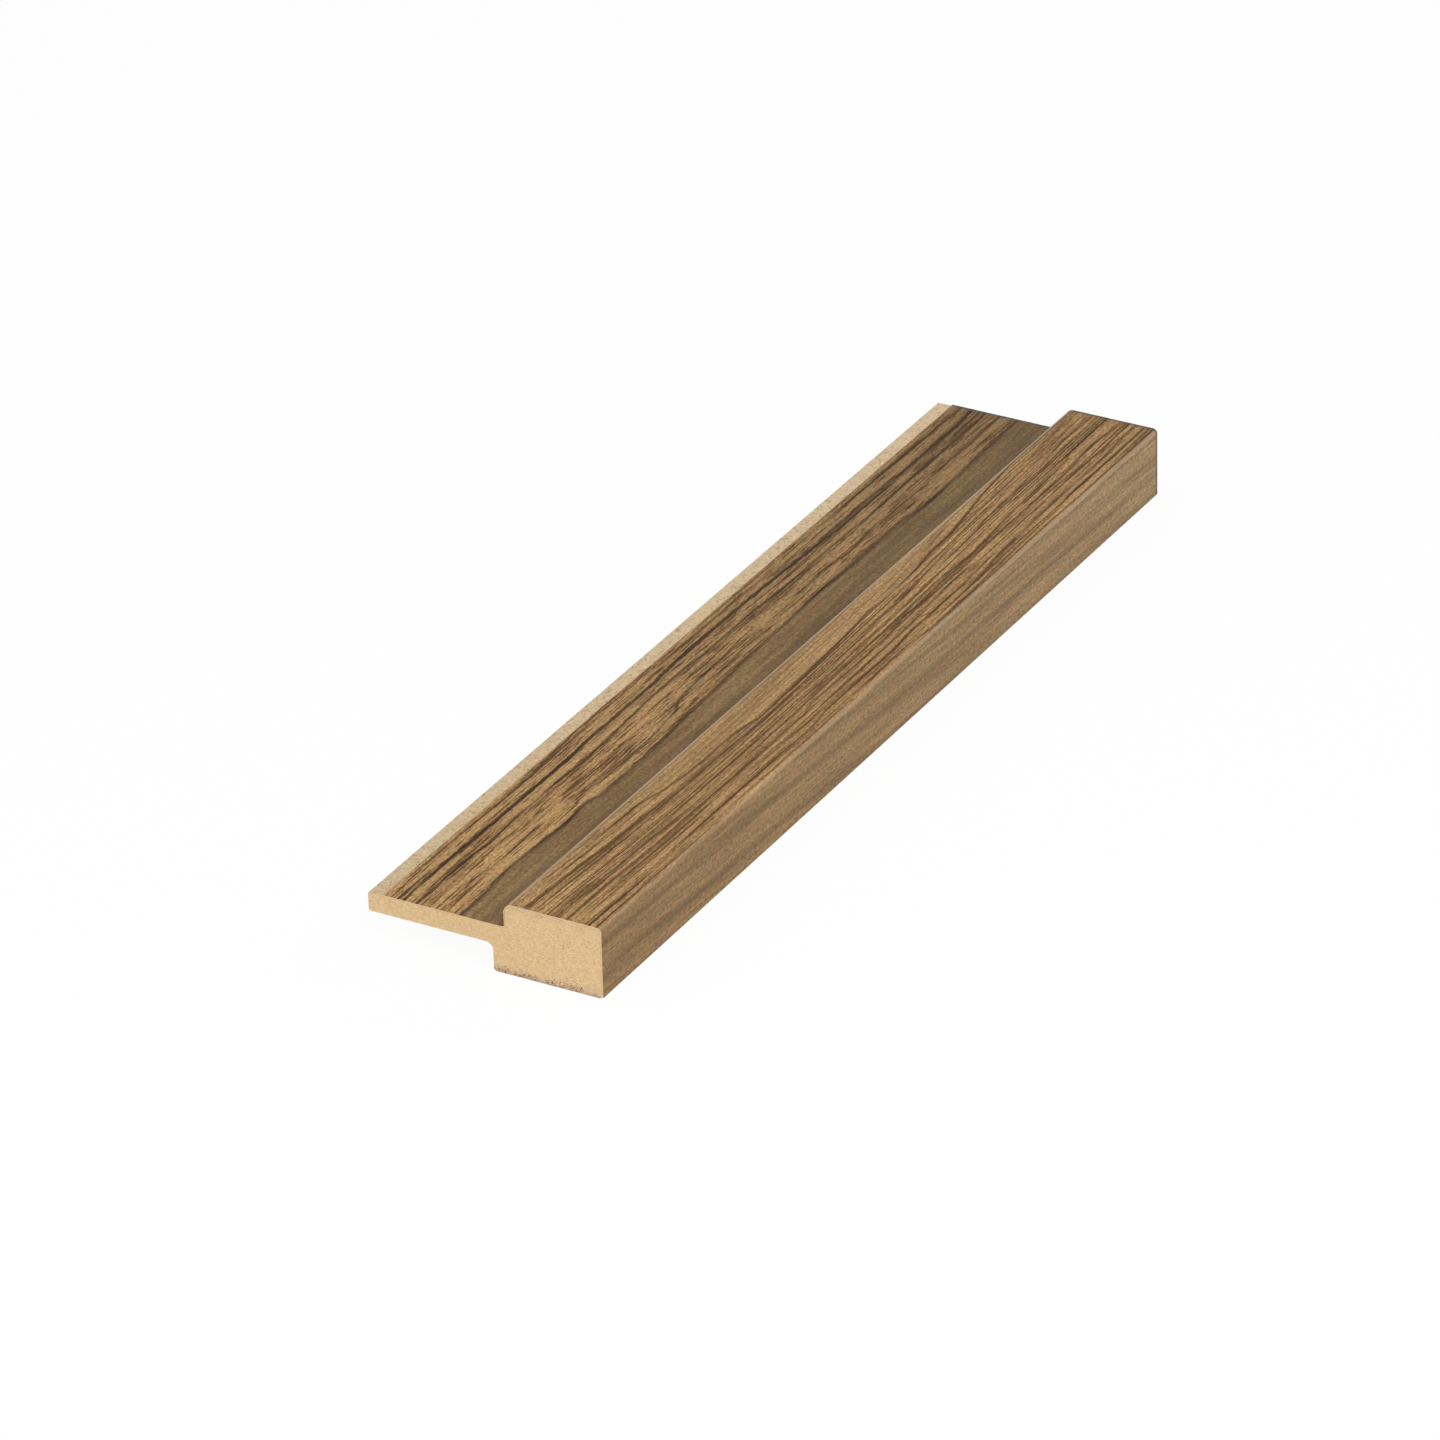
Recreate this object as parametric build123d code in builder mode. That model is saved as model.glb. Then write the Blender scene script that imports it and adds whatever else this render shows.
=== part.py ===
from build123d import *
import os

# Wall panel end trim: a stepped MDF profile wrapped in decor foil, sawn to a short length.
# Frame: X runs across the trim, Y along it, Z out from the wall. The origin lies on the
# wall face, halfway along the trim and halfway across its overall width.

os.makedirs("parts", exist_ok=True)

# Driving dimensions in millimetres, taken over the foil wherever there is foil
length = 270.0
bar_width = 25.0
bar_height = 18.0
inner_front_radius = 2.5
outer_front_radius = 1.2
foot_overhang = 3.0
foot_radius = 0.9
flange_reach = 35.0
flange_thickness = 5.0
flange_level = 12.0
flange_arris = 0.3
flange_lip_radius = 0.7
root_cove_radius = 1.8
groove_radius = 0.4
bare_strip = 4.0
foil_thickness = 0.3
foil_hem = 0.4

# Finished faces, from the flange's outer edge to the bar's outer side
overall_width = flange_reach + bar_width
flange_edge = -overall_width / 2
bar_side = overall_width / 2
bar_wall = bar_side - bar_width
foot_wall = bar_wall - foot_overhang
flange_underside = flange_level - flange_thickness
foil_start = flange_edge + bare_strip

# Milled faces under the foil, each one foil thickness inside its finished face
milled_flange = flange_level - foil_thickness
milled_wall = bar_wall + foil_thickness
milled_front = bar_height - foil_thickness
milled_side = bar_side - foil_thickness
milled_inner_radius = inner_front_radius - foil_thickness
milled_outer_radius = outer_front_radius - foil_thickness
milled_groove_radius = groove_radius + foil_thickness

# Corners of the milled section with their radii, from the bare strip round over the bar
milled_corners = [
    ((flange_edge, milled_flange), flange_arris),
    ((milled_wall, milled_flange), milled_groove_radius),
    ((milled_wall, milled_front), milled_inner_radius),
    ((milled_side, milled_front), milled_outer_radius),
    ((milled_side, 0), foot_radius),
    ((foot_wall, 0), foot_radius),
    ((foot_wall, flange_underside), root_cove_radius),
    ((flange_edge, flange_underside), flange_lip_radius),
]

# The foil turns at the groove and at the bar's two front corners
foil_corners = milled_corners[1:4]

# Core: bar and flange milled from one board
with BuildPart() as mdf_core:
    with BuildSketch(Plane.XZ) as milled_section:
        with BuildLine():
            FilletPolyline(
                *[corner for corner, radius in milled_corners],
                radius=[radius for corner, radius in milled_corners],
                close=True,
            )
        make_face()
    extrude(amount=length / 2, both=True)
mdf_core.part.label = "mdf_core"
export_step(mdf_core.part, "parts/mdf_core.step")

# Foil: one skin of even thickness from the bare strip to the hem above the wall face
with BuildPart() as decor_foil:
    with BuildSketch(Plane.XZ) as foil_section:
        with BuildLine():
            FilletPolyline(
                (foil_start, milled_flange),
                *[corner for corner, radius in foil_corners],
                (milled_side, foil_hem),
                radius=[radius for corner, radius in foil_corners],
            )
            offset(amount=foil_thickness, side=Side.LEFT)
        make_face()
    extrude(amount=length / 2, both=True)
decor_foil.part.label = "decor_foil"
export_step(decor_foil.part, "parts/decor_foil.step")
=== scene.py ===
"""Looks for the wall panel end trim: a milled MDF core and the decor foil wrapped round its front."""

import math

import bpy
from mathutils import Matrix, Vector, noise
from mathutils.geometry import delaunay_2d_cdt


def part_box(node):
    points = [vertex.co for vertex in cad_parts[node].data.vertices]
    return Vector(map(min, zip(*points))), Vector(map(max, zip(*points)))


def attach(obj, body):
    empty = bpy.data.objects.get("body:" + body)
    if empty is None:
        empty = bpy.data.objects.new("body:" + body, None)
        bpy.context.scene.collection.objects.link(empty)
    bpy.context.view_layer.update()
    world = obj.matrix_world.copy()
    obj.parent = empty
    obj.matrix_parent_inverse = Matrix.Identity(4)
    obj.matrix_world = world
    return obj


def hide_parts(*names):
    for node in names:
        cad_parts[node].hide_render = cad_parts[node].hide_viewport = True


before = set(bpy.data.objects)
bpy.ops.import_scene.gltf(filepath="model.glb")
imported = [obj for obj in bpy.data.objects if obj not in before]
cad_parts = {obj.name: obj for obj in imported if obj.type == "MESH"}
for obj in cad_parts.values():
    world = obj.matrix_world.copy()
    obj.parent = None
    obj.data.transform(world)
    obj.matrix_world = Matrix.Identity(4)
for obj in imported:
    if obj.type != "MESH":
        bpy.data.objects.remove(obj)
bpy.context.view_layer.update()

# noise_vector depends on this seed, which would be the time of the run if it weren't set
noise.seed_set(5)

# Lengths below are in millimetres, and become metres when a mesh is made
MM = 0.001
core_low, core_high = [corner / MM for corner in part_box("mdf_core")]
foil_low, foil_high = [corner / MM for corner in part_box("decor_foil")]

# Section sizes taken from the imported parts
near_end, far_end = core_low.y, core_high.y
length = far_end - near_end
flange_edge, bar_side = core_low.x, foil_high.x
bar_height = foil_high.z
foil_start, foil_hem = foil_low.x, foil_low.z
foil_thickness = foil_high.z - core_high.z

# Section sizes that a box doesn't give
bar_width = 25.0
inner_front_radius = 2.5
outer_front_radius = 1.2
foot_overhang = 3.0
foot_radius = 0.9
flange_level = 12.0
flange_thickness = 5.0
flange_arris = 0.3
flange_lip_radius = 0.7
root_cove_radius = 1.8
groove_radius = 0.4

bar_wall = bar_side - bar_width
foot_wall = bar_wall - foot_overhang
milled_flange = flange_level - foil_thickness
milled_wall = bar_wall + foil_thickness
milled_front = bar_height - foil_thickness
milled_side = bar_side - foil_thickness

# Distance round the sharp-cornered front, from the flange's outer edge, at which each face begins
wall_from = bar_wall - flange_edge
top_from = wall_from + bar_height - flange_level
side_from = top_from + bar_width
wrap_end = side_from + bar_height

# Mesh spacing: between a section's points, between its repeats and between points on a sawn end.
# turn_steps is how many points a rounded corner has, end_gaps where a sawn end's extra repeats are.
section_step = 1.0
turn_steps = 12
foil_step = 2.0
board_step = 3.0
end_gaps = (0.15, 0.5)
sawn_pitch = 0.9

# Surface texture: the foil's ragged start and cut ends, and the board's fuzz, dents and arrises.
# A wander is (mm between its bends, mm that it strays).
start_shift = 0.05
start_wanders = ((14.0, 0.10), (2.5, 0.05))
cut_slope = 0.08
straight_after = 3.0
cut_back = 0.03
cut_wander = (1.7, 0.10)
fuzz_depth = 0.06
fuzz_rate = (0.9, 0.5, 0.9)
fuzz_short_of_foil = 0.3
dent_least, dent_more = 0.02, 0.05
dent_rate = (0.8, 0.8, 1.0)
saw_ripple = 0.015
ripple_rate = (1.9, 0.7)
sawn_arris = 0.12
sharp_angle = math.radians(35)


# Section outlines

def rounded_run(corners, closed=False):
    """Points round (x, z, radius) corners, as (x, z, normal x, normal z, distance travelled).

    The distance is measured round the corners as if they were sharp.
    """
    count = len(corners)
    spots = [Vector(corner[:2]) for corner in corners]
    run = []
    travelled = 0.0
    for i in range(count if closed else count - 1):
        start, end, after = [spots[(i + k) % count] for k in range(3)]
        heading = (end - start).normalized()
        outward = Vector((-heading.y, heading.x))
        turns_next = closed or i + 2 < count
        cut_here = corners[i][2] if closed or i else 0.0
        cut_next = corners[(i + 1) % count][2] if turns_next else 0.0
        straight = (end - start).length - cut_here - cut_next
        first = start + heading * cut_here
        steps = max(1, round(straight / section_step))
        for k in range(steps + (0 if turns_next else 1)):
            spot = first + heading * straight * k / steps
            run.append((*spot, *outward, travelled + cut_here + straight * k / steps))
        travelled += (end - start).length
        if not turns_next or cut_next == 0:
            continue
        new_heading = (after - end).normalized()
        side = 1 if heading.x * new_heading.y - heading.y * new_heading.x > 0 else -1
        corner_from = end - heading * cut_next
        centre = corner_from + outward * side * cut_next
        for k in range(turn_steps):
            turned = Matrix.Rotation(side * math.pi / 2 * k / turn_steps, 2)
            spot = centre + turned @ (corner_from - centre)
            faced = turned @ outward
            run.append((*spot, *faced, travelled - cut_next + 2 * cut_next * k / turn_steps))
    return run


def stations(step):
    """Places along the trim where its section is repeated, closer together at the sawn ends."""
    count = round(length / step)
    inner = [near_end + length * k / count for k in range(1, count)]
    after_near = [near_end + gap for gap in end_gaps]
    before_far = [far_end - gap for gap in reversed(end_gaps)]
    return [near_end, *after_near, *inner, *before_far, far_end]


def inward(y, amount):
    """The place y at a sawn end, moved into the trim by amount."""
    return y + amount if y < 0 else y - amount


def wander(place, reach, amount):
    """A smooth wobble of up to about amount, with bends about reach apart."""
    noise_row = 3.7
    return amount * noise.noise(Vector((place / reach, noise_row, reach)))


def pitting(spot, rate):
    """How pitted the board is at a spot, from 0 to about 1. rate is how fast that changes, by axis."""
    return abs(noise.noise(Vector([part * speed for part, speed in zip(spot, rate)])))


def make_piece(name, corners, faces, grain, material, node):
    """A smooth piece from corners in millimetres. grain holds three lengths a corner, for its look."""
    mesh = bpy.data.meshes.new(name)
    mesh.from_pydata([Vector(corner) * MM for corner in corners], [], faces)
    held = mesh.attributes.new("grain", "FLOAT_VECTOR", "POINT")
    held.data.foreach_set("vector", [value for point in grain for value in point])
    mesh.polygons.foreach_set("use_smooth", [True] * len(mesh.polygons))
    mesh.set_sharp_from_angle(angle=sharp_angle)
    mesh.materials.append(material)
    mesh.validate()
    piece = bpy.data.objects.new(name, mesh)
    bpy.context.scene.collection.objects.link(piece)
    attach(piece, "root")
    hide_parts(node)
    return piece


# Node helpers

class Look:
    """The node tree of a material or world. Its calls take a number or a socket for any input."""

    def __init__(self, owner):
        self.owner = owner
        owner.use_nodes = True
        self.tree = owner.node_tree
        self.tree.nodes.clear()

    def add(self, kind, **settings):
        node = self.tree.nodes.new(kind)
        for key, value in settings.items():
            setattr(node, key, value)
        return node

    def feed(self, socket, given):
        if isinstance(given, bpy.types.NodeSocket):
            self.tree.links.new(given, socket)
        else:
            socket.default_value = given

    def feed_all(self, sockets, given):
        for socket, value in zip(sockets, given):
            self.feed(socket, value)

    def math(self, operation, *given):
        node = self.add("ShaderNodeMath", operation=operation)
        self.feed_all(node.inputs, given)
        return node.outputs[0]

    def less(self, amount, share=1.0):
        """What is left of 1 when share of amount is taken from it."""
        return self.math("MULTIPLY_ADD", amount, -share, 1.0)

    def centred(self, value, amount):
        """A value from 0 to 1 turned into half of amount either way."""
        return self.math("MULTIPLY_ADD", value, amount, -amount / 2)

    def vector(self, x, y, z):
        node = self.add("ShaderNodeCombineXYZ")
        self.feed_all(node.inputs, (x, y, z))
        return node.outputs[0]

    def split(self, vector):
        node = self.add("ShaderNodeSeparateXYZ")
        self.feed(node.inputs[0], vector)
        return node.outputs

    def read_grain(self):
        """The three lengths that the piece's mesh holds at each place."""
        return self.split(self.add("ShaderNodeAttribute", attribute_name="grain").outputs["Vector"])

    def ranged(self, kind, *given):
        """A range node without its clamp, which Cycles would add as a node at the end of the tree."""
        node = self.add("ShaderNodeMapRange", interpolation_type=kind, clamp=False)
        self.feed_all(node.inputs, given)
        return node.outputs[0]

    def fade(self, value, low, high, to_low=0.0, to_high=1.0):
        """value between low and high turned smoothly into to_low to to_high, held beyond them."""
        return self.ranged("SMOOTHSTEP", value, low, high, to_low, to_high)

    def slope(self, value, low, high, to_low=0.0, to_high=1.0):
        """The same in a straight line, for to_low and to_high that are plain numbers."""
        straight = self.ranged("LINEAR", value, low, high, to_low, to_high)
        raised = self.math("MAXIMUM", straight, min(to_low, to_high))
        return self.math("MINIMUM", raised, max(to_low, to_high))

    def speckle(self, place, detail, rough):
        """Noise of about unit size round the given place, from 0 to 1."""
        node = self.add("ShaderNodeTexNoise")
        self.feed(node.inputs["Vector"], place)
        node.inputs["Scale"].default_value = 1.0
        node.inputs["Detail"].default_value = detail
        node.inputs["Roughness"].default_value = rough
        return node.outputs["Fac"]

    def grained(self, across, along, kind):
        """Noise of one of the print's kinds, listed below."""
        pitch, run, row, detail, rough = kind
        place = self.vector(self.math("DIVIDE", across, pitch), self.math("DIVIDE", along, run), row)
        return self.speckle(place, detail, rough)

    def curve(self, along, pairs, handles="AUTO_CLAMPED"):
        """A drawn line: pairs of (share of the length, height from 0 to 1)."""
        node = self.add("ShaderNodeFloatCurve")
        line = node.mapping.curves[0]
        node.mapping.extend = "HORIZONTAL"
        line.points[0].location = pairs[0]
        line.points[1].location = pairs[-1]
        for pair in pairs[1:-1]:
            line.points.new(*pair)
        for point in line.points:
            point.handle_type = handles
        node.mapping.update()
        self.feed(node.inputs["Value"], along)
        return node.outputs[0]

    def mix(self, share, first, second, blend="MIX"):
        node = self.add("ShaderNodeMix", data_type="RGBA", blend_type=blend)
        factor, colour_a, colour_b = node.inputs[0], node.inputs[6], node.inputs[7]
        self.feed_all((factor, colour_a, colour_b), (share, first, second))
        return node.outputs[2]

    def bump(self, height, distance, strength, before=None):
        node = self.add("ShaderNodeBump")
        node.inputs["Strength"].default_value = strength
        node.inputs["Distance"].default_value = distance * MM
        self.feed(node.inputs["Height"], height)
        if before is not None:
            self.feed(node.inputs["Normal"], before)
        return node.outputs[0]

    def seen_plainly(self):
        """1 where the camera, a reflection or clear glass looks at this, 0 where it only gives light."""
        path = self.add("ShaderNodeLightPath")
        shown = self.math("MAXIMUM", path.outputs["Is Camera Ray"], path.outputs["Is Glossy Ray"])
        return self.math("MAXIMUM", shown, path.outputs["Is Transmission Ray"])

    def end(self, kind, shader):
        """Closes the tree with an output node of the given kind."""
        self.feed(self.add(kind).inputs["Surface"], shader.outputs[0])
        return self.owner

    def surface(self, colour, roughness, specular, normal):
        """Closes a material's tree with one plain surface."""
        shader = self.add("ShaderNodeBsdfPrincipled")
        self.feed(shader.inputs["Base Color"], colour)
        self.feed(shader.inputs["Roughness"], roughness)
        shader.inputs["Specular IOR Level"].default_value = specular
        self.feed(shader.inputs["Normal"], normal)
        return self.end("ShaderNodeOutputMaterial", shader)


def shade(red, green, blue):
    """A colour as seen on a screen, 0 to 255, as the linear colour that a node takes (the sRGB rule)."""
    linear = []
    for part in (red, green, blue):
        share = part / 255
        linear.append(share / 12.92 if share <= 0.04045 else ((share + 0.055) / 1.055) ** 2.4)
    return (*linear, 1.0)


# Printed grain

# How much perspective squeezes each face's veins toward one end, as they are read in the photograph
flange_squeeze = 0.845
bar_squeeze = 1.42
side_squeeze = 0.91

# How far a vein's ragged edge and its halo reach, in half widths, and how many mm its ends fray
vein_spread = 1.15
halo_reach = 3.0
fray = 2.0

# Each vein is a half width and a list of (mm read along the face, mm across it, darkness from 0 to 1)
FLANGE_VEINS = [
    (0.42, [(17, 5.3, 0), (21, 5.3, 0.7), (36, 5.4, 0.5), (60, 5.9, 0.8), (97, 5.8, 0.7),
            (110, 5.8, 0), (124, 5.8, 0), (135, 5.9, 0.7), (170, 6.3, 0.7), (183, 6.7, 0.5),
            (190, 6.4, 0), (202, 5.8, 0.3), (222, 5.9, 0.7), (245, 6.3, 1.0), (270, 6.7, 0.8)]),
    (0.32, [(68, 4.5, 0), (72, 4.5, 0.6), (83, 4.4, 0), (99, 4.3, 0), (103, 4.3, 0.6), (118, 4.4, 0),
            (150, 4.7, 0), (155, 4.7, 0.6), (184, 4.9, 0.5), (190, 4.7, 0), (206, 4.5, 0),
            (215, 4.5, 0.6), (226, 4.6, 0)]),
    (0.4, [(0, 7.8, 0.9), (14, 7.8, 0.8), (23, 7.9, 0)]),
    (0.4, [(0, 9.35, 0.9), (7, 9.1, 0.8), (12, 8.95, 0)]),
    (0.6, [(5, 8.8, 0), (10, 8.9, 0.9), (25, 8.9, 1.0), (40, 9.3, 1.0), (60, 9.35, 1.0),
           (85, 9.4, 1.0), (94, 9.0, 0.9), (120, 9.1, 0.9), (140, 8.5, 1.0), (165, 8.6, 0.9),
           (185, 9.2, 1.0), (200, 9.8, 1.0), (206, 9.5, 0.8), (230, 9.6, 0.7), (237, 10.1, 0.9),
           (260, 10.3, 1.0), (270, 9.6, 1.0)]),
    (0.45, [(199, 10.2, 0), (205, 10.4, 0.9), (230, 10.6, 0.9), (240, 10.3, 0)]),
    (0.38, [(33, 10.7, 0), (37, 10.7, 0.6), (44, 10.6, 0), (86, 10.3, 0), (96, 10.3, 0.5),
            (110, 10.4, 0), (148, 10.9, 0), (154, 10.9, 0.5), (160, 11.0, 0), (177, 11.2, 0),
            (183, 11.3, 0.9), (197, 11.4, 0), (218, 11.8, 0), (225, 11.8, 0.6), (231, 11.9, 0),
            (255, 11.9, 0), (262, 12.0, 0.8), (270, 12.0, 0.8)]),
    (0.45, [(0, 12.6, 0.9), (12, 12.4, 0.7), (28, 12.6, 1.0), (36, 12.95, 0.8), (50, 12.7, 0.8),
            (60, 12.7, 0.2), (70, 12.6, 1.0), (80, 13.0, 0.8), (95, 12.8, 0.7), (122, 11.9, 0.8),
            (145, 12.5, 0.7), (165, 12.6, 0.8), (182, 13.2, 0.8), (205, 13.3, 0.6), (218, 13.8, 0.7),
            (242, 13.5, 1.0), (255, 13.8, 0.8), (270, 13.5, 0.9)]),
    (0.35, [(50, 13.6, 0), (56, 13.7, 0.7), (66, 13.7, 0.5), (71, 13.4, 0), (154, 13.9, 0),
            (158, 13.8, 0.6), (162, 13.8, 0)]),
    (0.45, [(83, 17.4, 0), (93, 17.1, 0.9), (102, 17.3, 0), (118, 17.6, 0), (132, 17.5, 0.9),
            (150, 17.3, 0.4), (162, 17.3, 0), (174, 17.8, 0), (178, 17.8, 0.5), (188, 17.3, 0.5),
            (195, 17.3, 0), (234, 17.4, 0), (242, 17.4, 0.9), (256, 17.3, 0.6), (270, 17.3, 0.6)]),
    (0.42, [(6, 18.4, 0), (18, 18.5, 0.5), (27, 19.3, 0.4), (47, 19.1, 0.9), (54, 19.2, 0),
            (60, 19.4, 0), (66, 19.5, 0.5), (80, 20.0, 0.3), (94, 19.5, 0.9), (101, 19.5, 0),
            (130, 20.1, 0), (136, 20.2, 0.9), (150, 20.1, 0.2), (159, 20.0, 0.9), (166, 20.3, 0),
            (218, 20.2, 0), (224, 20.2, 0.9), (231, 20.2, 0), (251, 19.9, 0), (258, 19.9, 0.9),
            (266, 19.9, 0)]),
    (0.42, [(82, 21.7, 0), (88, 21.7, 0.6), (100, 21.4, 0.4), (110, 20.5, 0.5), (115, 20.1, 0.8),
            (118, 18.8, 0.6), (122, 17.8, 0.4), (128, 17.5, 0)]),
    (0.6, [(0, 23.9, 0.9), (12, 23.7, 0.8), (27, 22.9, 0.7), (44, 23.5, 0.8), (54, 24.0, 1.0),
           (63, 23.3, 0.8), (72, 24.6, 0.7), (95, 24.4, 0.6), (102, 24.1, 0.9), (121, 23.4, 0.6),
           (140, 22.6, 0.8), (165, 22.1, 0.7), (180, 21.7, 1.0), (190, 22.0, 0.8), (215, 21.9, 0.6),
           (229, 23.3, 1.0), (240, 22.9, 0.6), (270, 22.0, 0.8)]),
]
# Broader, softer patches of the same dark print
FLANGE_PATCHES = [
    (1.05, [(122, 8.8, 0), (130, 8.6, 0.7), (160, 8.5, 0.7), (170, 8.7, 0.2), (192, 9.5, 0.2),
            (205, 10.0, 0.6), (225, 10.3, 0.7), (252, 10.6, 0.5), (262, 10.0, 0.4), (270, 9.6, 0.7)]),
    (0.85, [(28, 23.0, 0), (35, 23.3, 0.8), (43, 23.5, 0.8), (48, 23.6, 0), (184, 22.2, 0),
            (194, 22.5, 0.6), (214, 23.0, 0.5), (228, 23.3, 1.0), (234, 23.2, 0.9), (240, 23.0, 0)]),
    (0.55, [(0, 17.7, 0.2), (4, 17.7, 0.5), (10, 17.8, 0)]),
]
TOP_VEINS = [
    (0.42, [(30, 3.9, 0), (38, 4.6, 0.7), (46, 6.6, 0.7), (58, 7.7, 1.0), (66, 7.8, 0.8),
            (73, 8.1, 1.0), (80, 9.3, 0.8), (92, 9.0, 1.0), (108, 8.5, 1.0), (125, 7.7, 0.9),
            (133, 7.1, 0.8), (145, 7.9, 0), (148, 7.6, 0.2), (157, 7.1, 0.8), (167, 6.2, 1.0),
            (180, 5.8, 1.0), (192, 4.6, 0.9), (204, 3.3, 0.9), (221, 2.2, 1.0), (237, 1.0, 0.9),
            (252, 0.7, 0.5), (262, 0.5, 0)]),
    (0.36, [(137, 6.2, 0), (146, 5.9, 0.7), (157, 5.2, 0.4), (163, 4.7, 0.1), (170, 4.4, 0.6),
            (180, 3.5, 0.6), (190, 3.4, 0)]),
    (0.36, [(14, 9.5, 0), (24, 9.5, 1.0), (31, 9.9, 0), (36, 9.6, 0), (41, 9.6, 1.0), (57, 9.7, 0.6),
            (64, 10.0, 1.0), (76, 10.4, 0.6), (88, 10.6, 0.5), (93, 10.5, 0), (138, 11.0, 0),
            (146, 11.0, 1.0), (151, 11.0, 0), (180, 10.2, 0), (190, 9.9, 0.8), (203, 9.5, 0.9),
            (207, 9.4, 0.4), (214, 9.3, 0.9), (226, 8.8, 0.3), (240, 8.0, 0.7), (250, 7.5, 1.0),
            (266, 7.5, 0.4), (270, 7.6, 0.2)]),
    (0.38, [(92, 14.2, 0), (97, 14.2, 1.0), (103, 14.6, 0.4), (108, 14.7, 0.7), (118, 13.9, 0.6),
            (130, 13.5, 0.5), (136, 14.0, 0), (148, 15.1, 0.2), (160, 14.7, 1.0), (172, 15.0, 1.0),
            (190, 14.2, 0.8), (204, 13.6, 0.6), (214, 13.5, 1.0), (236, 13.0, 0.6), (240, 12.0, 0.7),
            (254, 11.7, 1.0), (262, 11.7, 0.3), (270, 11.8, 0.8)]),
    (0.4, [(0, 16.3, 1.0), (12, 16.4, 1.0), (25, 17.0, 0.7), (46, 17.3, 0.9), (58, 17.7, 1.0),
           (70, 18.0, 0.6), (82, 18.3, 0.2), (90, 16.5, 0.7), (108, 16.9, 1.0), (124, 16.9, 0.7),
           (135, 15.7, 0.8), (145, 16.2, 1.0), (152, 16.2, 0), (180, 16.0, 0), (190, 16.7, 0.7),
           (204, 16.2, 0.4), (218, 16.0, 0.8), (230, 15.8, 0.1), (247, 14.8, 1.0), (262, 15.2, 0.7),
           (270, 15.2, 0.3)]),
    (0.38, [(8, 14.9, 0), (10, 14.9, 0.9), (22, 14.8, 0.6), (36, 15.5, 1.0), (48, 16.0, 0.5),
            (56, 16.0, 0), (74, 15.7, 0), (84, 15.9, 0.7), (88, 15.9, 0), (145, 17.5, 0),
            (152, 17.6, 1.0), (162, 17.5, 0.9), (170, 17.9, 0), (215, 17.4, 0), (230, 17.4, 1.0),
            (240, 17.6, 0.4), (248, 18.4, 0.8), (256, 17.6, 0.3), (270, 17.4, 1.0)]),
    (0.38, [(8, 19.0, 0), (22, 19.2, 0.6), (38, 19.9, 0.8), (44, 20.0, 0), (70, 19.5, 0.2),
            (82, 20.3, 1.0), (90, 19.9, 0.4), (104, 19.4, 0.3), (118, 18.9, 0.8), (134, 18.7, 0.4),
            (140, 20.5, 0.9), (150, 20.5, 1.0), (164, 20.2, 0.6), (172, 19.8, 0.9), (178, 19.9, 0),
            (192, 20.4, 0.5), (211, 20.2, 0.9), (226, 20.4, 0.6), (245, 20.1, 0.9), (260, 19.5, 0.5),
            (270, 19.7, 0.7)]),
    (0.42, [(0, 21.8, 1.0), (15, 22.1, 0.8), (21, 22.1, 0.2), (42, 21.7, 0.9), (60, 22.0, 1.0),
            (78, 22.2, 0.6), (90, 21.1, 0.8), (104, 21.1, 1.0), (116, 21.3, 0.8), (130, 20.4, 0.9),
            (136, 20.5, 0.6), (144, 22.4, 0.4), (164, 22.0, 0.9), (176, 21.1, 0.6), (184, 21.1, 0.9),
            (190, 21.4, 0), (205, 22.5, 0.4), (220, 21.8, 1.0), (240, 21.9, 0.9), (264, 21.8, 0.7),
            (270, 21.8, 0.5)]),
    (0.4, [(0, 23.6, 0.9), (18, 24.0, 0.6), (36, 23.4, 0.2), (56, 23.7, 0.6), (84, 24.0, 0.6),
           (94, 23.5, 0.3), (106, 23.4, 1.0), (124, 23.2, 0.5), (134, 24.1, 0.8), (154, 23.9, 0.9),
           (162, 23.6, 0.8), (185, 23.0, 0.8), (203, 22.8, 0.6), (210, 23.0, 0), (246, 24.2, 0),
           (254, 24.2, 0.9), (270, 24.2, 0.7)]),
]
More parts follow.
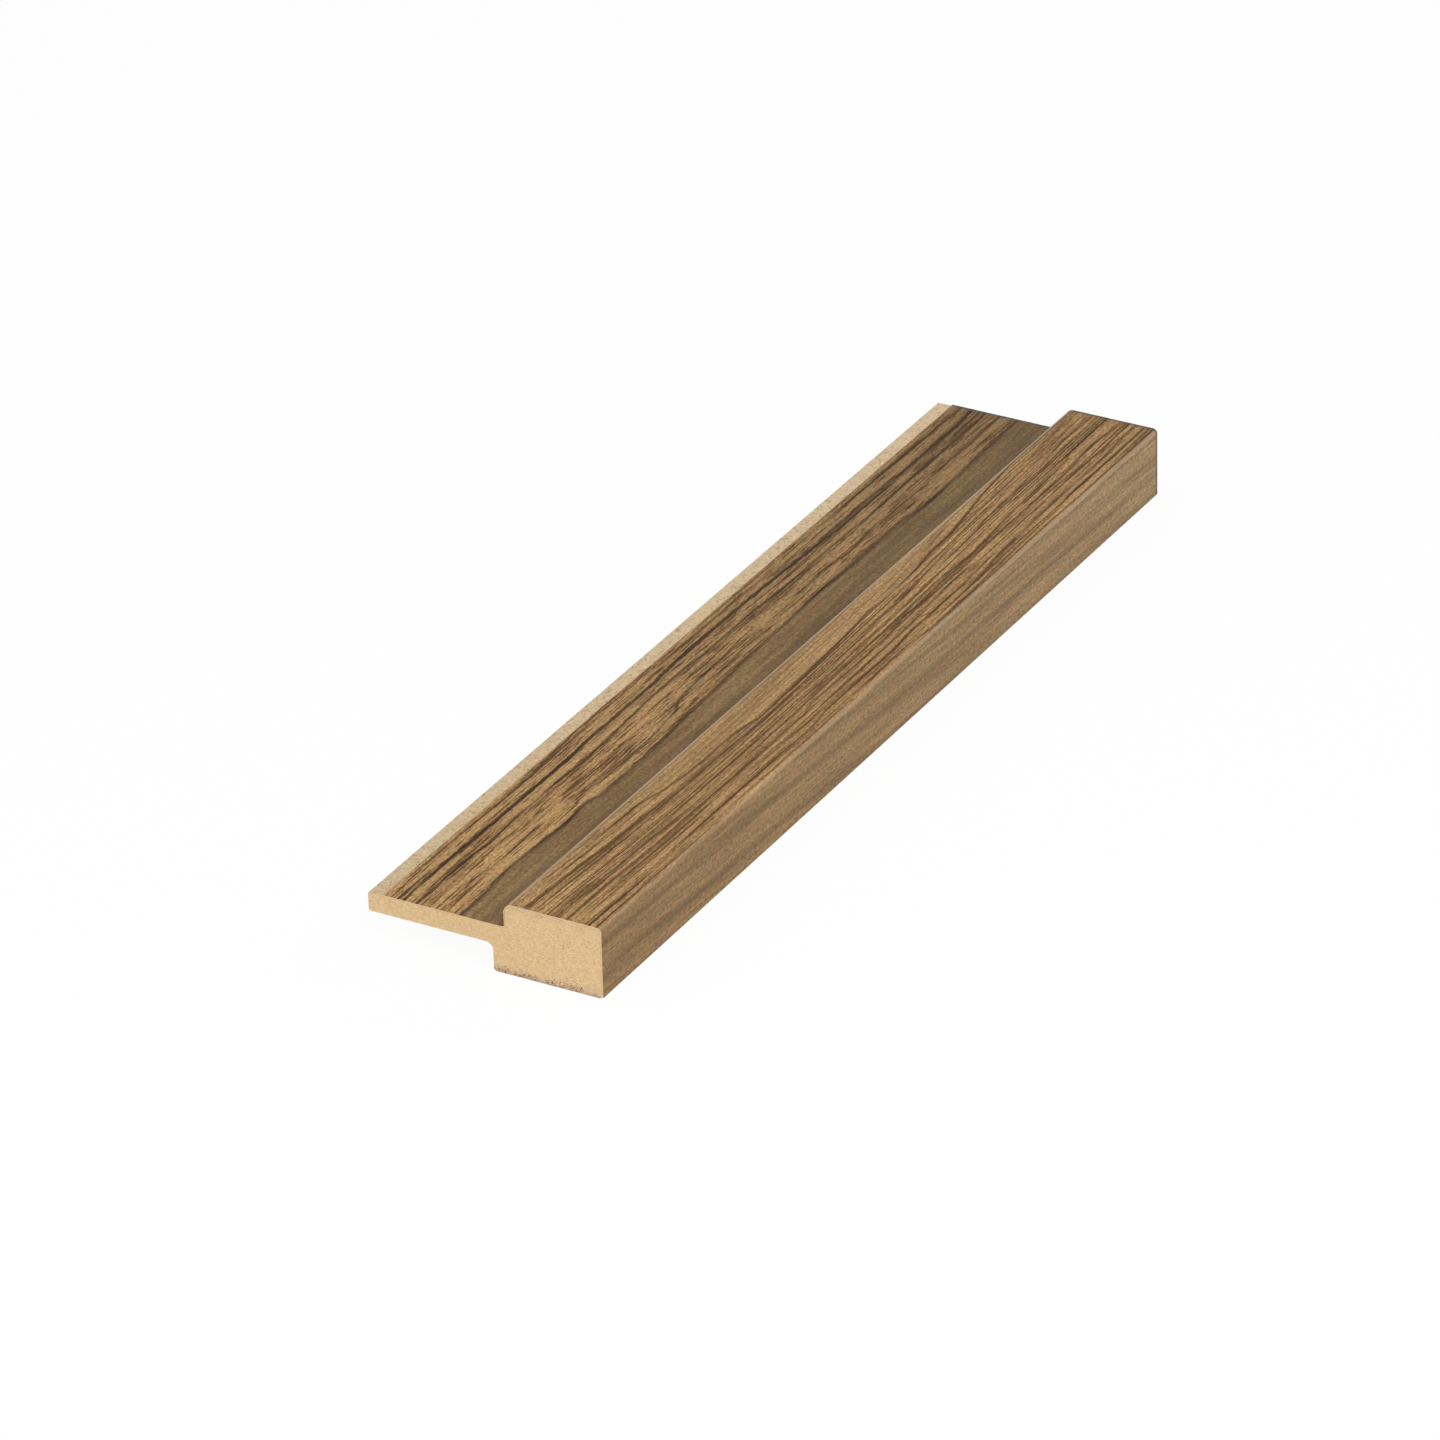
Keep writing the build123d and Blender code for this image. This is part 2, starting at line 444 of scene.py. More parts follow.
# Short fine streaks between the bar's veins
TOP_STREAKS = [
    (0.34, [(16, 2.6, 0), (25, 2.7, 0.9), (28, 2.7, 0.8), (30, 2.8, 0), (72, 3.3, 0), (77, 3.3, 0.5),
            (80, 1.4, 0), (90, 1.3, 0.4), (100, 2.0, 0.3), (114, 2.3, 0), (122, 2.3, 0.5),
            (135, 1.6, 0.6), (144, 1.5, 0)]),
    (0.36, [(4, 4.8, 0), (11, 4.9, 0.6), (22, 5.3, 0.4), (26, 5.4, 0), (229, 4.7, 0), (234, 4.7, 0.8),
            (247, 4.4, 0.4), (252, 4.3, 0)]),
    (0.34, [(10, 6.6, 0), (17, 6.6, 0.8), (19, 6.6, 0), (21, 8.2, 0), (31, 8.2, 0.9), (40, 8.1, 0.3),
            (43, 8.1, 0), (157, 8.1, 0), (166, 8.2, 0.6), (170, 8.3, 0)]),
    (0.36, [(24, 11.3, 0), (29, 11.3, 0.7), (37, 11.3, 0), (47, 11.2, 0.8), (56, 11.5, 0.4),
            (79, 11.7, 0.4), (83, 11.8, 0), (158, 11.1, 0), (173, 11.0, 0.6), (176, 11.0, 0),
            (201, 11.2, 0), (208, 11.3, 0.9), (218, 11.4, 0), (224, 10.5, 0), (231, 10.4, 0.8),
            (234, 10.8, 0)]),
    (0.36, [(12, 18.1, 0), (26, 18.2, 0.7), (33, 18.3, 0.7), (40, 18.5, 0), (83, 18.3, 0),
            (95, 18.7, 0.6), (116, 18.9, 0.8), (135, 18.6, 0.6), (140, 18.7, 0), (158, 19.0, 0),
            (165, 19.0, 0.9), (171, 19.0, 0)]),
]
SIDE_BANDS = [
    (1.5, [(0, 4.0, 0.8), (30, 4.5, 0.9), (60, 5.3, 0.8), (100, 7.2, 0.9), (140, 9.0, 0.9),
           (165, 9.6, 0.7), (210, 10.5, 0.9), (250, 11.5, 0.9), (270, 12.0, 0.4)]),
    (1.6, [(0, 12.0, 0.6), (15, 11.0, 0.8), (35, 13.0, 0.9), (60, 13.2, 0.9), (90, 14.5, 0.7),
           (115, 15.8, 0.7), (140, 17.3, 0.6)]),
    (1.0, [(80, 0.8, 0), (100, 1.2, 0.7), (130, 2.7, 0.8), (160, 4.0, 0.8), (190, 5.0, 0.7),
           (230, 6.2, 0.7), (262, 6.6, 0.6), (270, 6.8, 0.2)]),
    (0.5, [(175, 1.0, 0), (200, 1.2, 0.6), (240, 1.6, 0.8), (262, 1.9, 0.5), (270, 2.0, 0.3)]),
]

# Noises of the print: (mm across the grain, mm along it, a row of its own, detail, roughness)
SLOW_SWAY = (9.0, 34.0, 1.3, 1.0, 0.5)
QUICK_SWAY = (1.3, 4.5, 5.1, 2.0, 0.5)
JAG = (0.5, 1.2, 9.4, 2.0, 0.5)
FIBRE = (0.3, 3.2, 2.2, 3.0, 0.65)
LONG_STREAK = (0.5, 30.0, 7.9, 2.0, 0.5)
DASH = (0.36, 9.0, 12.4, 2.0, 0.5)
RULED_LINE = (0.4, 75.0, 52.6, 2.0, 0.55)
MIDDLING = (0.75, 10.0, 33.1, 2.0, 0.6)
BROAD = (1.9, 46.0, 21.7, 2.0, 0.5)
MOTTLE = (0.6, 1.2, 61.0, 1.0, 0.6)
HUE = (2.0, 12.0, 47.0, 2.0, 0.6)
SWELL = (4.0, 9.0, 40.0, 1.0, 0.5)

# How many mm each noise moves the print from side to side
SWAYS = ((SLOW_SWAY, 0.2), (QUICK_SWAY, 0.2), (JAG, 0.4))

# Colours of the print that change along it, each at the near end and at the far end
FLANGE_GOLD = (shade(183, 145, 95), shade(140, 109, 68))
FLANGE_DEEP = (shade(159, 119, 73), shade(119, 90, 53))
SIDE_GOLD = (shade(147, 115, 71), shade(163, 133, 89))
SIDE_DEEP = (shade(121, 91, 52), shade(136, 107, 67))
OLIVE_LIGHT = (shade(143, 115, 74), shade(127, 101, 63))
OLIVE_DEEP = (shade(116, 90, 52), shade(101, 78, 45))
FLANGE_VEIN = (shade(48, 27, 8), shade(54, 37, 17))
SIDE_BAND = (shade(104, 76, 41), shade(112, 86, 52))

# Colours that stay the same along the trim, of the print and the paper, and of the painted shade and
# painted highlight
TOP_GOLD = shade(179, 141, 93)
TOP_DEEP = shade(159, 121, 76)
TOP_PLAIN = shade(171, 136, 90)
TOP_VEIN = shade(74, 46, 14)
STREAK = shade(84, 55, 20)
SIDE_STREAK = shade(98, 71, 38)
# Painted shade for the groove beside the bar's wall
GROOVE_SHADE = shade(88, 68, 42)
# Painted highlight along the bar's two front corners
CORNER_HIGHLIGHT = shade(194, 170, 143)
# The colour that the print darkens to along the far end
FAR_END_DARK = shade(84, 76, 68)
PAPER = shade(222, 190, 142)
OLIVE_TINT = (0.96, 1.02, 0.93, 1.0)
ROSE_TINT = (1.04, 0.985, 1.03, 1.0)

# How far the fine grain on the bar's front is pushed over: (share of the length, share of the most)
TOP_ARCH = [(0.0, 0.12), (0.3, 0.62), (0.42, 0.6), (0.6, 0.42), (0.8, 0.12), (1.0, 0.0)]
most_by_outer_corner, most_by_inner_corner = 1.0, 7.0

# How far the fine grain on the side climbs for each mm along the trim
side_climb = 0.034

# How strongly each fine noise lightens and darkens the print
fibre_weight = 0.7
mottle_weight = 1.5
middling_weight = 0.4


def true_share(read_along, squeeze):
    """The share of the trim's length at which a place read along a squeezed face really lies."""
    read = read_along / length
    return read * squeeze / (1 + (squeeze - 1) * read)


def vein_line(points, squeeze, begins, full):
    """A vein's route as (share of the length, share of full), where the face begins at begins."""
    return [(true_share(at, squeeze), (begins + across) / full) for at, across, dark in points]


def draw_veins(look, place, along, width, veins, begins, squeeze, core=0.5, halo=0.25):
    """The darkest of several veins. width is how ragged their edges are, about 1.

    core is the share of the half width that is fully dark, and halo is the darkness of the soft edge.
    """
    darkest = None
    for half_width, points in veins:
        route = look.curve(along, vein_line(points, squeeze, begins, wrap_end))
        depths = [(true_share(at, squeeze), dark) for at, across, dark in points]
        depth = look.curve(along, depths, "VECTOR")
        off = look.math("ABSOLUTE", look.math("SUBTRACT", place, route))
        reach = look.math("MULTIPLY", width, vein_spread * half_width / wrap_end)
        drawn = look.fade(off, reach, look.math("MULTIPLY", reach, core), 0.0, depth)
        if halo:
            halo_from = halo_reach * half_width / wrap_end
            around = look.fade(off, halo_from, 0.0, 0.0, look.math("MULTIPLY", depth, halo))
            drawn = look.math("MAXIMUM", drawn, around)
        darkest = drawn if darkest is None else look.math("MAXIMUM", darkest, drawn)
    return darkest


def foil_look():
    """Teak-coloured print on paper foil. Its colour depends only on the place on the unrolled foil."""
    look = Look(bpy.data.materials.new("printed_foil"))
    across, along, depth_in = look.read_grain()
    share = look.math("DIVIDE", along, length)
    far = look.slope(share, 0.05, 1.0)
    on_top = look.fade(across, top_from - 0.4, top_from + 0.6)
    on_side = look.fade(across, side_from - 0.5, side_from + 0.7)

    # The print wavers a little, as the wood did
    swayed = across
    for kind, amount in SWAYS:
        swayed = look.math("ADD", swayed, look.centred(look.grained(across, along, kind), amount))
    place = look.math("DIVIDE", swayed, wrap_end)

    # The fine grain follows the bar's arched veins and the side's climbing bands
    arch = look.curve(share, TOP_ARCH)
    most = look.slope(across, side_from, top_from + 4, most_by_outer_corner, most_by_inner_corner)
    leaning = look.math("MULTIPLY", look.math("MULTIPLY", arch, most), on_top)
    climbing = look.math("MULTIPLY", look.math("MULTIPLY", along, side_climb), on_side)
    followed = look.math("SUBTRACT", look.math("SUBTRACT", swayed, leaning), climbing)

    # Fibres: fine streaks along the trim, which also roughen the edges and fray the ends of the veins
    fibre = look.grained(followed, along, FIBRE)
    ragged = look.math("MULTIPLY_ADD", fibre, 1.9, 0.05)
    frayed = look.math("ADD", share, look.centred(fibre, fray / length))
    long_streak = look.grained(followed, along, LONG_STREAK)
    dash = look.grained(followed, along, DASH)
    middling = look.grained(followed, along, MIDDLING)
    broad = look.grained(followed, along, BROAD)
    mottle = look.grained(across, along, MOTTLE)
    hue = look.grained(across, along, HUE)

    veins = draw_veins(look, place, frayed, ragged, FLANGE_VEINS, 0.0, flange_squeeze)
    patches = draw_veins(look, place, frayed, ragged, FLANGE_PATCHES, 0.0, flange_squeeze, 0.1, 0.0)
    top_veins = draw_veins(look, place, frayed, ragged, TOP_VEINS, top_from, bar_squeeze)
    top_streaks = draw_veins(look, place, frayed, ragged, TOP_STREAKS, top_from, bar_squeeze, halo=0.0)
    soft = look.math("MULTIPLY_ADD", fibre, 0.8, 0.6)
    bands = draw_veins(look, place, frayed, soft, SIDE_BANDS, side_from, side_squeeze, 0.0, 0.0)

    # The smooth olive band beside the bar begins at the flange's last vein
    band_edge = look.curve(frayed, vein_line(FLANGE_VEINS[-1][1], flange_squeeze, 0.0, wrap_end))
    olive = look.fade(look.math("SUBTRACT", place, band_edge), -0.1 / wrap_end, 0.6 / wrap_end)
    olive = look.math("MULTIPLY", olive, look.less(on_top))

    # The plainer strip at the bar's left ends at the bar's first vein
    first_vein = vein_line(TOP_VEINS[0][1], bar_squeeze, 0.0, bar_width)
    plain_edge = look.curve(frayed, [(0.0, 2.0 / bar_width), *first_vein])
    plain_to = look.math("MULTIPLY_ADD", plain_edge, bar_width, top_from)
    plain = look.fade(look.math("SUBTRACT", plain_to, swayed), -0.1, 0.5)
    plain = look.math("MULTIPLY", plain, on_top)

    # Ground colours
    dimming = look.math("POWER", far, 1.5)
    gold = look.mix(on_top, look.mix(dimming, *FLANGE_GOLD), TOP_GOLD)
    deep = look.mix(on_top, look.mix(dimming, *FLANGE_DEEP), TOP_DEEP)
    gold = look.mix(on_side, gold, look.mix(far, *SIDE_GOLD))
    deep = look.mix(on_side, deep, look.mix(far, *SIDE_DEEP))
    tone = look.math("MULTIPLY", look.math("ADD", broad, long_streak), 0.5)
    ground = look.mix(look.fade(tone, 0.34, 0.6), deep, gold)
    olive_light = look.mix(far, *OLIVE_LIGHT)
    olive_deep = look.mix(far, *OLIVE_DEEP)
    olive_tone = look.math("MULTIPLY_ADD", dash, 0.6, look.math("SUBTRACT", tone, 0.3))
    olive_colour = look.mix(look.fade(olive_tone, 0.36, 0.62), olive_deep, olive_light)
    ground = look.mix(olive, ground, olive_colour)
    ground = look.mix(look.math("MULTIPLY", plain, 0.5), ground, TOP_PLAIN)

    # Fine dark streaks: short dashes, long lines, and ruled lines on the bar's front
    gather = look.math("MULTIPLY_ADD", tone, -0.6, 0.28)
    dashes = look.math("ADD", look.math("MULTIPLY_ADD", fibre, 0.22, dash), gather)
    lines = look.math("ADD", look.math("MULTIPLY_ADD", fibre, 0.2, long_streak), gather)
    ruled = look.math("MULTIPLY_ADD", fibre, 0.2, look.grained(followed, along, RULED_LINE))
    dashed = look.fade(dashes, 0.65, 0.71, 0.0, look.less(on_top, 0.5))
    ruled = look.fade(look.math("MULTIPLY_ADD", far, 0.022, ruled), 0.636, 0.68, 0.0, on_top)
    streak = look.math("MAXIMUM", look.math("MAXIMUM", dashed, ruled), look.fade(lines, 0.64, 0.71))

    # They are few on the plain strip and the olive band, and soft on the side
    for region, spared in ((plain, 0.45), (olive, 0.66), (on_side, 0.7)):
        streak = look.math("MULTIPLY", streak, look.less(region, spared))
    streak_colour = look.mix(on_side, STREAK, SIDE_STREAK)
    inked = look.mix(look.math("MULTIPLY", streak, 0.9), ground, streak_colour)

    # Veins over the ground
    dark_print = look.math("MAXIMUM", look.math("MULTIPLY", patches, 0.75), veins)
    dark_top = look.math("MAXIMUM", top_veins, look.math("MULTIPLY", top_streaks, 0.9))
    dark_top = look.math("MULTIPLY", dark_top, look.math("MULTIPLY_ADD", far, 0.16, 0.8))
    inked = look.mix(look.math("MULTIPLY", dark_print, 0.97), inked, look.mix(far, *FLANGE_VEIN))
    inked = look.mix(dark_top, inked, TOP_VEIN)
    inked = look.mix(look.math("MULTIPLY", bands, 0.7), inked, look.mix(far, *SIDE_BAND))

    # Paper fibre: fine light and dark about 1, and a slight drift between olive and rose
    fine = look.math("ADD", look.centred(fibre, fibre_weight), 1.0)
    fine = look.math("ADD", look.centred(mottle, mottle_weight), fine)
    fine = look.math("ADD", look.centred(middling, middling_weight), fine)
    tint = look.mix(look.slope(hue, 0.3, 0.7), OLIVE_TINT, ROSE_TINT)
    inked = look.mix(1.0, inked, tint, "MULTIPLY")
    inked = look.mix(1.0, inked, look.vector(fine, fine, fine), "MULTIPLY")

    # Painted shade: the flange is darkened toward the bar, where the bar's wall shades the groove
    near_wall_shade = look.fade(across, wall_from - 2.2, wall_from - 0.3, 0.0, 0.3)
    wide_wall_shade = look.fade(across, wall_from - 7.6, wall_from - 5.6, 0.0, 0.22)
    up_the_wall = look.fade(across, wall_from + 3.5, wall_from + 0.5)
    painted_groove_shade = look.math("MULTIPLY", look.math("ADD", near_wall_shade, wide_wall_shade), up_the_wall)
    inked = look.mix(painted_groove_shade, inked, GROOVE_SHADE)

    # Painted highlight: the print is made pale where it turns over the bar's two front corners, where
    # gloss catches the light
    off_inner = look.math("ABSOLUTE", look.math("SUBTRACT", across, top_from + 0.1))
    off_outer = look.math("ABSOLUTE", look.math("SUBTRACT", across, side_from + 0.2))
    inner_highlight = look.fade(off_inner, 2.0, 0.9, 0.0, 0.64)
    outer_highlight = look.fade(off_outer, 1.1, 0.3, 0.0, look.math("MULTIPLY_ADD", far, 0.2, 0.24))
    inked = look.mix(look.math("MAXIMUM", inner_highlight, outer_highlight), inked, CORNER_HIGHLIGHT)

    # The cut rims show the paper, and the print is darker along the far end
    far_end_darkening = look.fade(along, length - 1.4, length - 0.4, 0.0, 0.75)
    inked = look.mix(far_end_darkening, inked, FAR_END_DARK)
    colour = look.mix(look.fade(depth_in, 0.02, 0.12), inked, PAPER)

    # Pressed pores and fibres, over a slight swell
    pores = look.math("MAXIMUM", streak, look.math("MAXIMUM", dark_print, dark_top))
    relief = look.math("SUBTRACT", look.math("MULTIPLY", fibre, 0.4), look.math("MULTIPLY", pores, 0.6))
    normal = look.bump(relief, 0.08, 0.9)
    normal = look.bump(look.grained(across, along, SWELL), 0.05, 0.5, normal)
    roughness = look.math("MULTIPLY_ADD", pores, 0.16, 0.34)
    return look.surface(colour, roughness, 0.12, normal)


# Bare board

# Where there are two colours, they are those of the darker and the paler clumps
SAWN_WOOD = (shade(212, 180, 134), shade(222, 192, 148))
MILLED_WOOD = (shade(194, 170, 135), shade(204, 181, 146))
MILLED_WOOD_FAR = (shade(212, 187, 152), shade(221, 198, 164))
DARK_THREAD = shade(186, 155, 114)
PALE_THREAD = shade(231, 207, 169)
BOARD_SKIN = shade(200, 172, 141)
WOOD_FLECK = shade(152, 124, 88)
SKIN_FLECK = shade(110, 84, 60)
BOARD_GRIME = shade(140, 116, 94)


def board_look():
    """Bare MDF: sawn ends, and milled faces that grow paler toward the far end."""
    look = Look(bpy.data.materials.new("bare_board"))
    x, y, z = look.read_grain()
    facing = look.split(look.add("ShaderNodeNewGeometry").outputs["True Normal"])
    on_end = look.fade(look.math("ABSOLUTE", facing[1]), 0.5, 0.9)
    far = look.slope(y, near_end, far_end)

    def wood(flat, thick, detail, rough):
        """Clumps that are flat wide and thick deep, because the fibres lie flat in the board."""
        spot = [look.math("DIVIDE", axis, size) for axis, size in ((x, flat), (y, flat), (z, thick))]
        return look.speckle(look.vector(*spot), detail, rough)

    clumps = wood(1.3, 0.8, 3.0, 0.65)
    threads = wood(0.6, 0.36, 3.0, 0.65)
    flecks = wood(0.6, 0.36, 2.0, 0.6)
    patchy = look.fade(wood(4.0, 2.5, 2.0, 0.5), 0.42, 0.6)
    sawn = look.mix(look.fade(clumps, 0.36, 0.64), *SAWN_WOOD)
    milled = look.mix(look.fade(clumps, 0.35, 0.65), *MILLED_WOOD)
    milled_far = look.mix(look.fade(clumps, 0.35, 0.65), *MILLED_WOOD_FAR)
    colour = look.mix(on_end, look.mix(far, milled, milled_far), sawn)
    colour = look.mix(look.fade(threads, 0.48, 0.66, 0.0, 0.5), colour, DARK_THREAD)
    colour = look.mix(look.fade(threads, 0.44, 0.34, 0.0, 0.45), colour, PALE_THREAD)

    # The pressed skins at the board's back and front are denser, greyer and more flecked
    ragged_z = look.math("MULTIPLY_ADD", clumps, 2.4, z)
    back_skin = look.fade(ragged_z, 4.2, 1.8)
    front_edge = look.math("MULTIPLY_ADD", clumps, -2.0, z)
    front_skin = look.fade(front_edge, bar_height - 3.2, bar_height - 1.2, 0.0, 0.5)
    skin = look.math("MULTIPLY", look.math("MAXIMUM", back_skin, front_skin), on_end)
    colour = look.mix(look.math("MULTIPLY", skin, 0.85), colour, BOARD_SKIN)

    # Flecks come in patches, more of them in the skins, fewer on a sawn end, fainter toward the far end
    often = look.math("MULTIPLY", look.math("MULTIPLY_ADD", skin, 0.13, 0.07), patchy)
    often = look.math("MULTIPLY_ADD", on_end, -0.05, often)
    fleck = look.fade(flecks, look.math("SUBTRACT", 0.64, often), look.math("SUBTRACT", 0.69, often))
    fleck = look.math("MULTIPLY", fleck, look.math("MULTIPLY_ADD", far, -0.4, 0.8))
    colour = look.mix(fleck, colour, look.mix(skin, WOOD_FLECK, SKIN_FLECK))

    # Grime along the sawn end's lowest edge
    grime = look.math("MULTIPLY", look.fade(ragged_z, 2.1, 1.3, 0.0, 0.6), on_end)
    colour = look.mix(grime, colour, BOARD_GRIME)

    relief = look.math("ADD", look.math("MULTIPLY", threads, 0.7), look.math("MULTIPLY", clumps, 0.3))
    roughness = look.math("MULTIPLY_ADD", threads, 0.12, 0.8)
    return look.surface(colour, roughness, 0.15, look.bump(relief, 0.09, 0.7))


# Foil: one skin wrapped from the bare strip over the bar to the hem

def build_foil(material):
    run = rounded_run([
        (foil_start, flange_level, 0.0),
        (bar_wall, flange_level, groove_radius),
        (bar_wall, bar_height, inner_front_radius),
        (bar_side, bar_height, outer_front_radius),
        (bar_side, foil_hem, 0.0),
    ])
    bare = foil_start - flange_edge
    rows = stations(foil_step)
    corners, grain, faces = [], [], []
    for y in rows:
        at_end = y in (near_end, far_end)
        start_wander = sum(wander(y, reach, amount) for reach, amount in start_wanders)
        for outside in (True, False):
            for x, z, nx, nz, travelled in run:
                fading = max(0.0, 1 - travelled / straight_after)
                shift = fading * (start_shift + start_wander)
                if outside and travelled == 0:
                    shift += cut_slope
                sink = 0.0 if outside else foil_thickness
                trim = cut_back + abs(wander(travelled + y, *cut_wander)) if at_end and outside else 0.0
                corners.append((x - nx * sink + shift, inward(y, trim), z - nz * sink))
                grain.append((travelled + bare, y - near_end, sink))
    across = len(run)
    ring = across * 2
    for j in range(len(rows) - 1):
        for i in range(across - 1):
            a = j * ring + i
            faces.append((a, a + 1, a + ring + 1, a + ring))
            b = a + across
            faces.append((b, b + ring, b + ring + 1, b + 1))
        start, hem = j * ring, j * ring + across - 1
        faces.append((start, start + ring, start + ring + across, start + across))
        faces.append((hem, hem + across, hem + ring + across, hem + ring))
    last = (len(rows) - 1) * ring
    for i in range(across - 1):
        faces.append((i, i + across, i + across + 1, i + 1))
        faces.append((last + i, last + i + 1, last + i + across + 1, last + i + across))
    return make_piece("foil_skin", corners, faces, grain, material, "decor_foil")


# Core: the milled board, open to view at its ends, back and bare strip

def sawn_spots(outline, y):
    """Points scattered inside a sawn end's outline, after the outline's own."""
    corner_x, corner_z = flange_edge + 0.7, 0.6
    jog_reach, jog_columns, jog_rows = 0.25, 3.1, 2.7
    edge_gap = 0.55
    spots = list(outline)
    for column in range(int((milled_side - flange_edge) / sawn_pitch)):
        for row in range(int(bar_height / sawn_pitch)):
            jog = noise.noise_vector(Vector((column * jog_columns, row * jog_rows, y))) * jog_reach
            spot = Vector((corner_x + column * sawn_pitch + jog.x, corner_z + row * sawn_pitch + jog.y))
            if min((spot - edge).length for edge in outline) > edge_gap:
                spots.append(spot)
    return spots


def sawn_dent(spot, y):
    """How deep the saw has torn the board at a spot: shallow dents, and a ripple across them."""
    ripple = saw_ripple * math.sin(spot.x * ripple_rate[0] + spot.y * ripple_rate[1])
    return dent_least + dent_more * pitting((*spot, y), dent_rate) + ripple


def build_board(material):
    run = rounded_run([
        (flange_edge, milled_flange, flange_arris),
        (milled_wall, milled_flange, groove_radius + foil_thickness),
        (milled_wall, milled_front, inner_front_radius - foil_thickness),
        (milled_side, milled_front, outer_front_radius - foil_thickness),
        (milled_side, 0.0, foot_radius),
        (foot_wall, 0.0, foot_radius),
        (foot_wall, flange_level - flange_thickness, root_cove_radius),
        (flange_edge, flange_level - flange_thickness, flange_lip_radius),
    ], closed=True)
    covered_from = foil_start - fuzz_short_of_foil
    rows = stations(board_step)
    corners, faces = [], []
    around = len(run)
    for y in rows:
        inset = sawn_arris if y in (near_end, far_end) else 0.0
        for x, z, nx, nz, travelled in run:
            bare = x < covered_from or z < foil_hem or nz < -0.1 or (nx < -0.5 and x < bar_wall)
            sink = inset + (pitting((x, y, z), fuzz_rate) * fuzz_depth if bare else 0.0)
            corners.append((x - nx * sink, y, z - nz * sink))
    for j in range(len(rows) - 1):
        for i in range(around):
            k = (i + 1) % around
            faces.append((j * around + i, j * around + k, (j + 1) * around + k, (j + 1) * around + i))
    loop = [(i, (i + 1) % around) for i in range(around)]
    for y, first in ((near_end, 0), (far_end, (len(rows) - 1) * around)):
        outline = [Vector((corners[first + i][0], corners[first + i][2])) for i in range(around)]
        spots = sawn_spots(outline, y)
        made, _, cells, kept, _, _ = delaunay_2d_cdt(spots, loop, [list(range(around))], 1, 1e-5)
        where = {}
        for index in sorted({index for cell in cells for index in cell}):
            spot, source = made[index], kept[index]
            if source and source[0] < around:
                where[index] = first + source[0]
            else:
                where[index] = len(corners)
                corners.append((spot.x, inward(y, sawn_dent(spot, y)), spot.y))
        for cell in cells:
            face = [where[index] for index in cell]
            a, b, c = [Vector(corners[index]) for index in face[:3]]
            toward = (b - a).cross(c - a).y
            faces.append(face if (toward < 0) == (y < 0) else face[::-1])
    return make_piece("board_core", corners, faces, corners, material, "mdf_core")


build_foil(foil_look())
build_board(board_look())


# Floor, surround and lamps

def floor_look():
    """White to the eye and in reflections, with a share of the real light so that the shadow stays."""
    look = Look(bpy.data.materials.new("pale_floor"))
    glow_share, floor_grey = 0.95, 0.9
    own_light = look.math("MULTIPLY", look.seen_plainly(), glow_share)
    matt = look.add("ShaderNodeBsdfDiffuse")
    matt.inputs["Color"].default_value = (floor_grey, floor_grey, floor_grey, 1.0)
    glow = look.add("ShaderNodeEmission")
    glow.inputs["Strength"].default_value = 1.0
    blend = look.add("ShaderNodeMixShader")
    look.feed_all(blend.inputs, (own_light, matt.outputs[0], glow.outputs[0]))
    return look.end("ShaderNodeOutputMaterial", blend)


def lay_floor(half):
    mesh = bpy.data.meshes.new("floor")
    corners = [(x * half, y * half, 0.0) for x, y in ((-1, -1), (1, -1), (1, 1), (-1, 1))]
    mesh.from_pydata(corners, [], [(0, 1, 2, 3)])
    mesh.materials.append(floor_look())
    floor = bpy.data.objects.new("floor", mesh)
    bpy.context.scene.collection.objects.link(floor)


def light_surround(level):
    """An even surround that lights the trim at level, and is as bright as the floor to the eye."""
    world = bpy.data.worlds.new("surround")
    bpy.context.scene.world = world
    look = Look(world)
    strength = look.math("MULTIPLY_ADD", look.seen_plainly(), 1.0 - level, level)
    background = look.add("ShaderNodeBackground")
    look.feed(background.inputs["Strength"], strength)
    look.end("ShaderNodeOutputWorld", background)


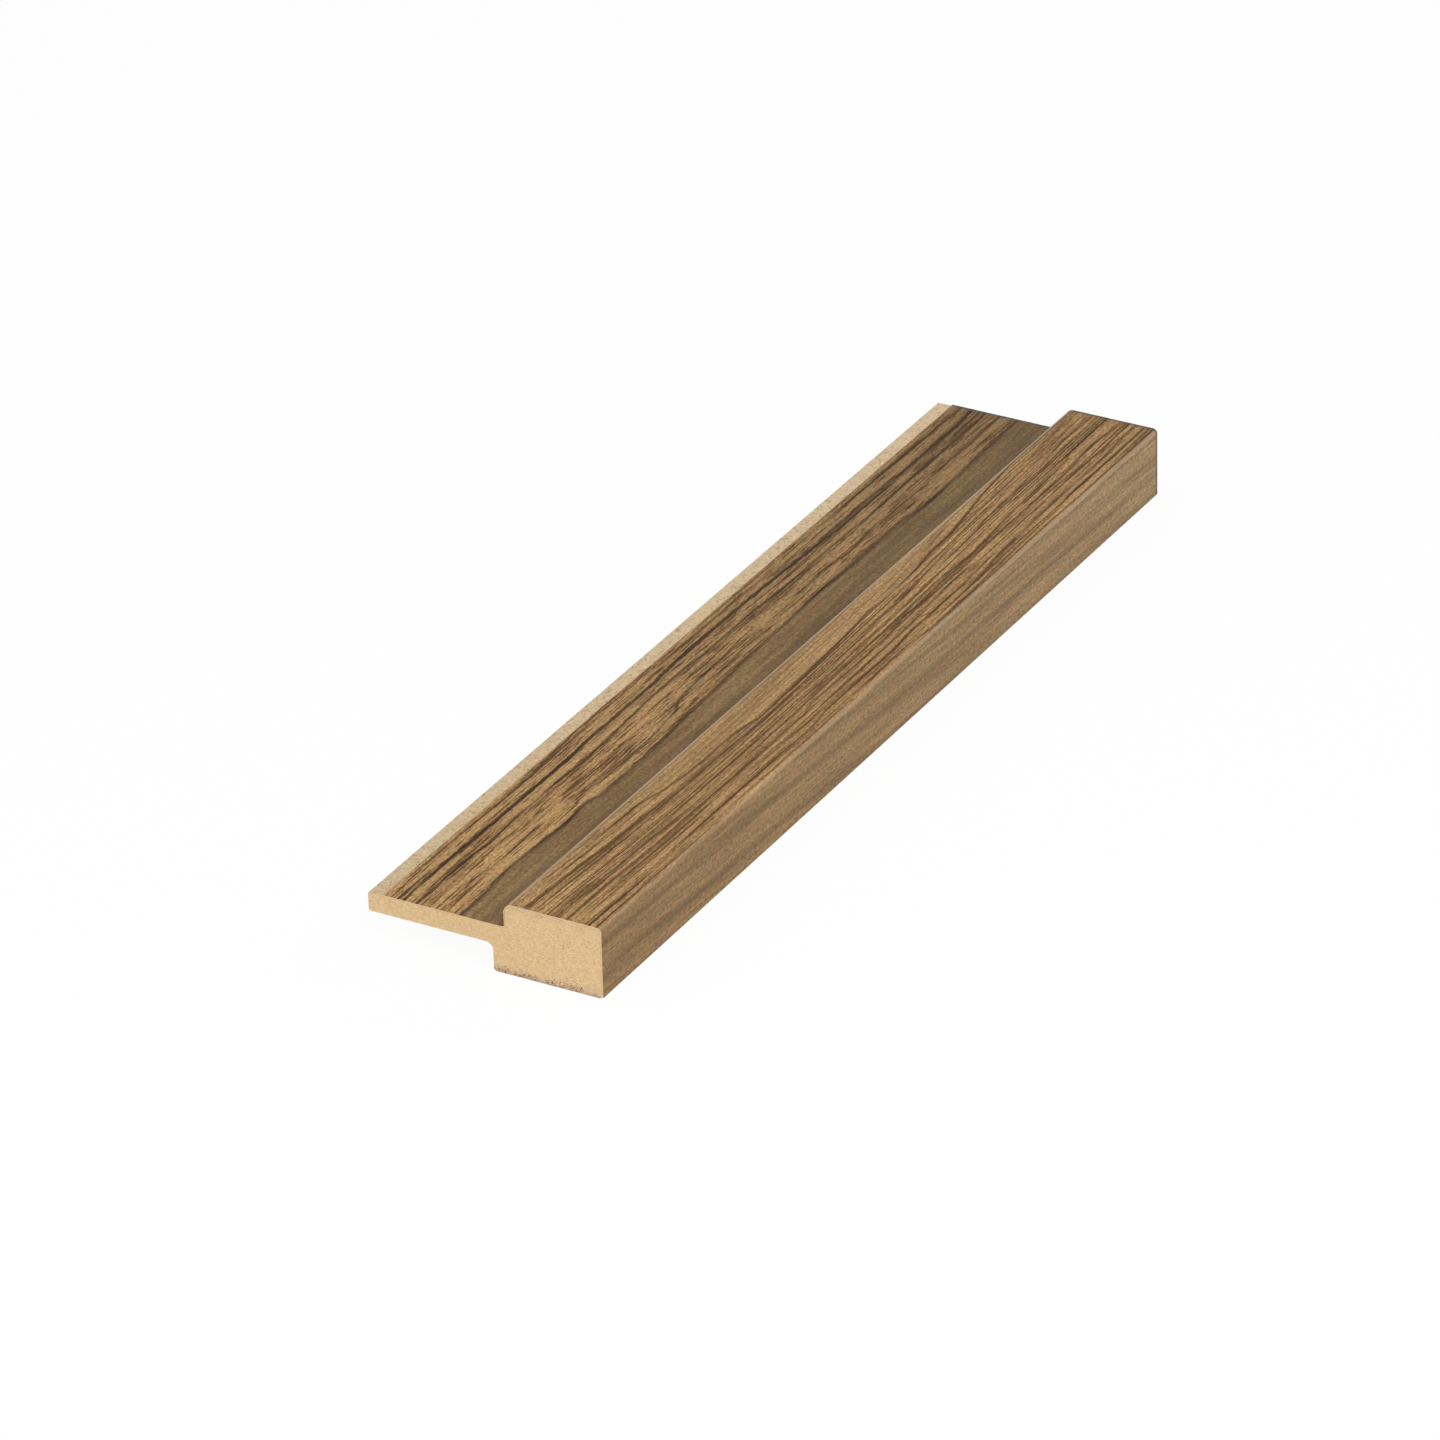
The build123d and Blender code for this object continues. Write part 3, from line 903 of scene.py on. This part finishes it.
def direction(azimuth, elevation):
    """Toward a place round the trim. Azimuth 0 is in front of the near end, 90 to its right."""
    turn, rise = math.radians(azimuth), math.radians(elevation)
    return Vector((math.sin(turn) * math.cos(rise), -math.cos(turn) * math.cos(rise), math.sin(rise)))


def soft_lamp(name, azimuth, elevation, distance, width, power):
    """A square lamp that looks at the trim."""
    lamp = bpy.data.lights.new(name, "AREA")
    lamp.size = width
    lamp.energy = power
    holder = bpy.data.objects.new(name, lamp)
    away = direction(azimuth, elevation)
    holder.location = away * distance
    holder.rotation_euler = away.to_track_quat("Z", "Y").to_euler()
    bpy.context.scene.collection.objects.link(holder)


lay_floor(half=4.0)
light_surround(level=0.55)
soft_lamp("key_lamp", azimuth=42, elevation=42, distance=1.6, width=1.1, power=16.0)
soft_lamp("left_lamp", azimuth=-50, elevation=50, distance=1.8, width=1.2, power=6.0)
soft_lamp("back_right_lamp", azimuth=147, elevation=26, distance=1.8, width=0.4, power=4.0)


# Camera at the photograph's viewing angle, fitted so that the trim's corners fall where they do there

camera_azimuth, camera_elevation, camera_roll = 29.864, 28.712, -1.466
camera_distance = 2121.36
camera_off_right, camera_off_down = 13.78, -10.856
frame_pixels = 1440
focal_pixels = 9147.5
sensor = 36.0


def place_camera():
    back = direction(camera_azimuth, camera_elevation)
    roll = math.radians(camera_roll)
    level_right = Vector((0, 0, 1)).cross(back).normalized()
    level_up = back.cross(level_right)
    right = level_right * math.cos(roll) + level_up * math.sin(roll)
    up = level_up * math.cos(roll) - level_right * math.sin(roll)
    middle = Vector((0.0, 0.0, bar_height / 2))
    spot = middle + back * camera_distance - right * camera_off_right + up * camera_off_down
    camera = bpy.data.cameras.new("camera")
    camera.sensor_width = sensor
    camera.lens = sensor * focal_pixels / frame_pixels
    holder = bpy.data.objects.new("camera", camera)
    turned = Matrix((right, up, back)).transposed().to_4x4()
    holder.matrix_world = Matrix.Translation(spot * MM) @ turned
    bpy.context.scene.collection.objects.link(holder)
    bpy.context.scene.camera = holder


place_camera()
bpy.context.scene.view_settings.view_transform = "Standard"
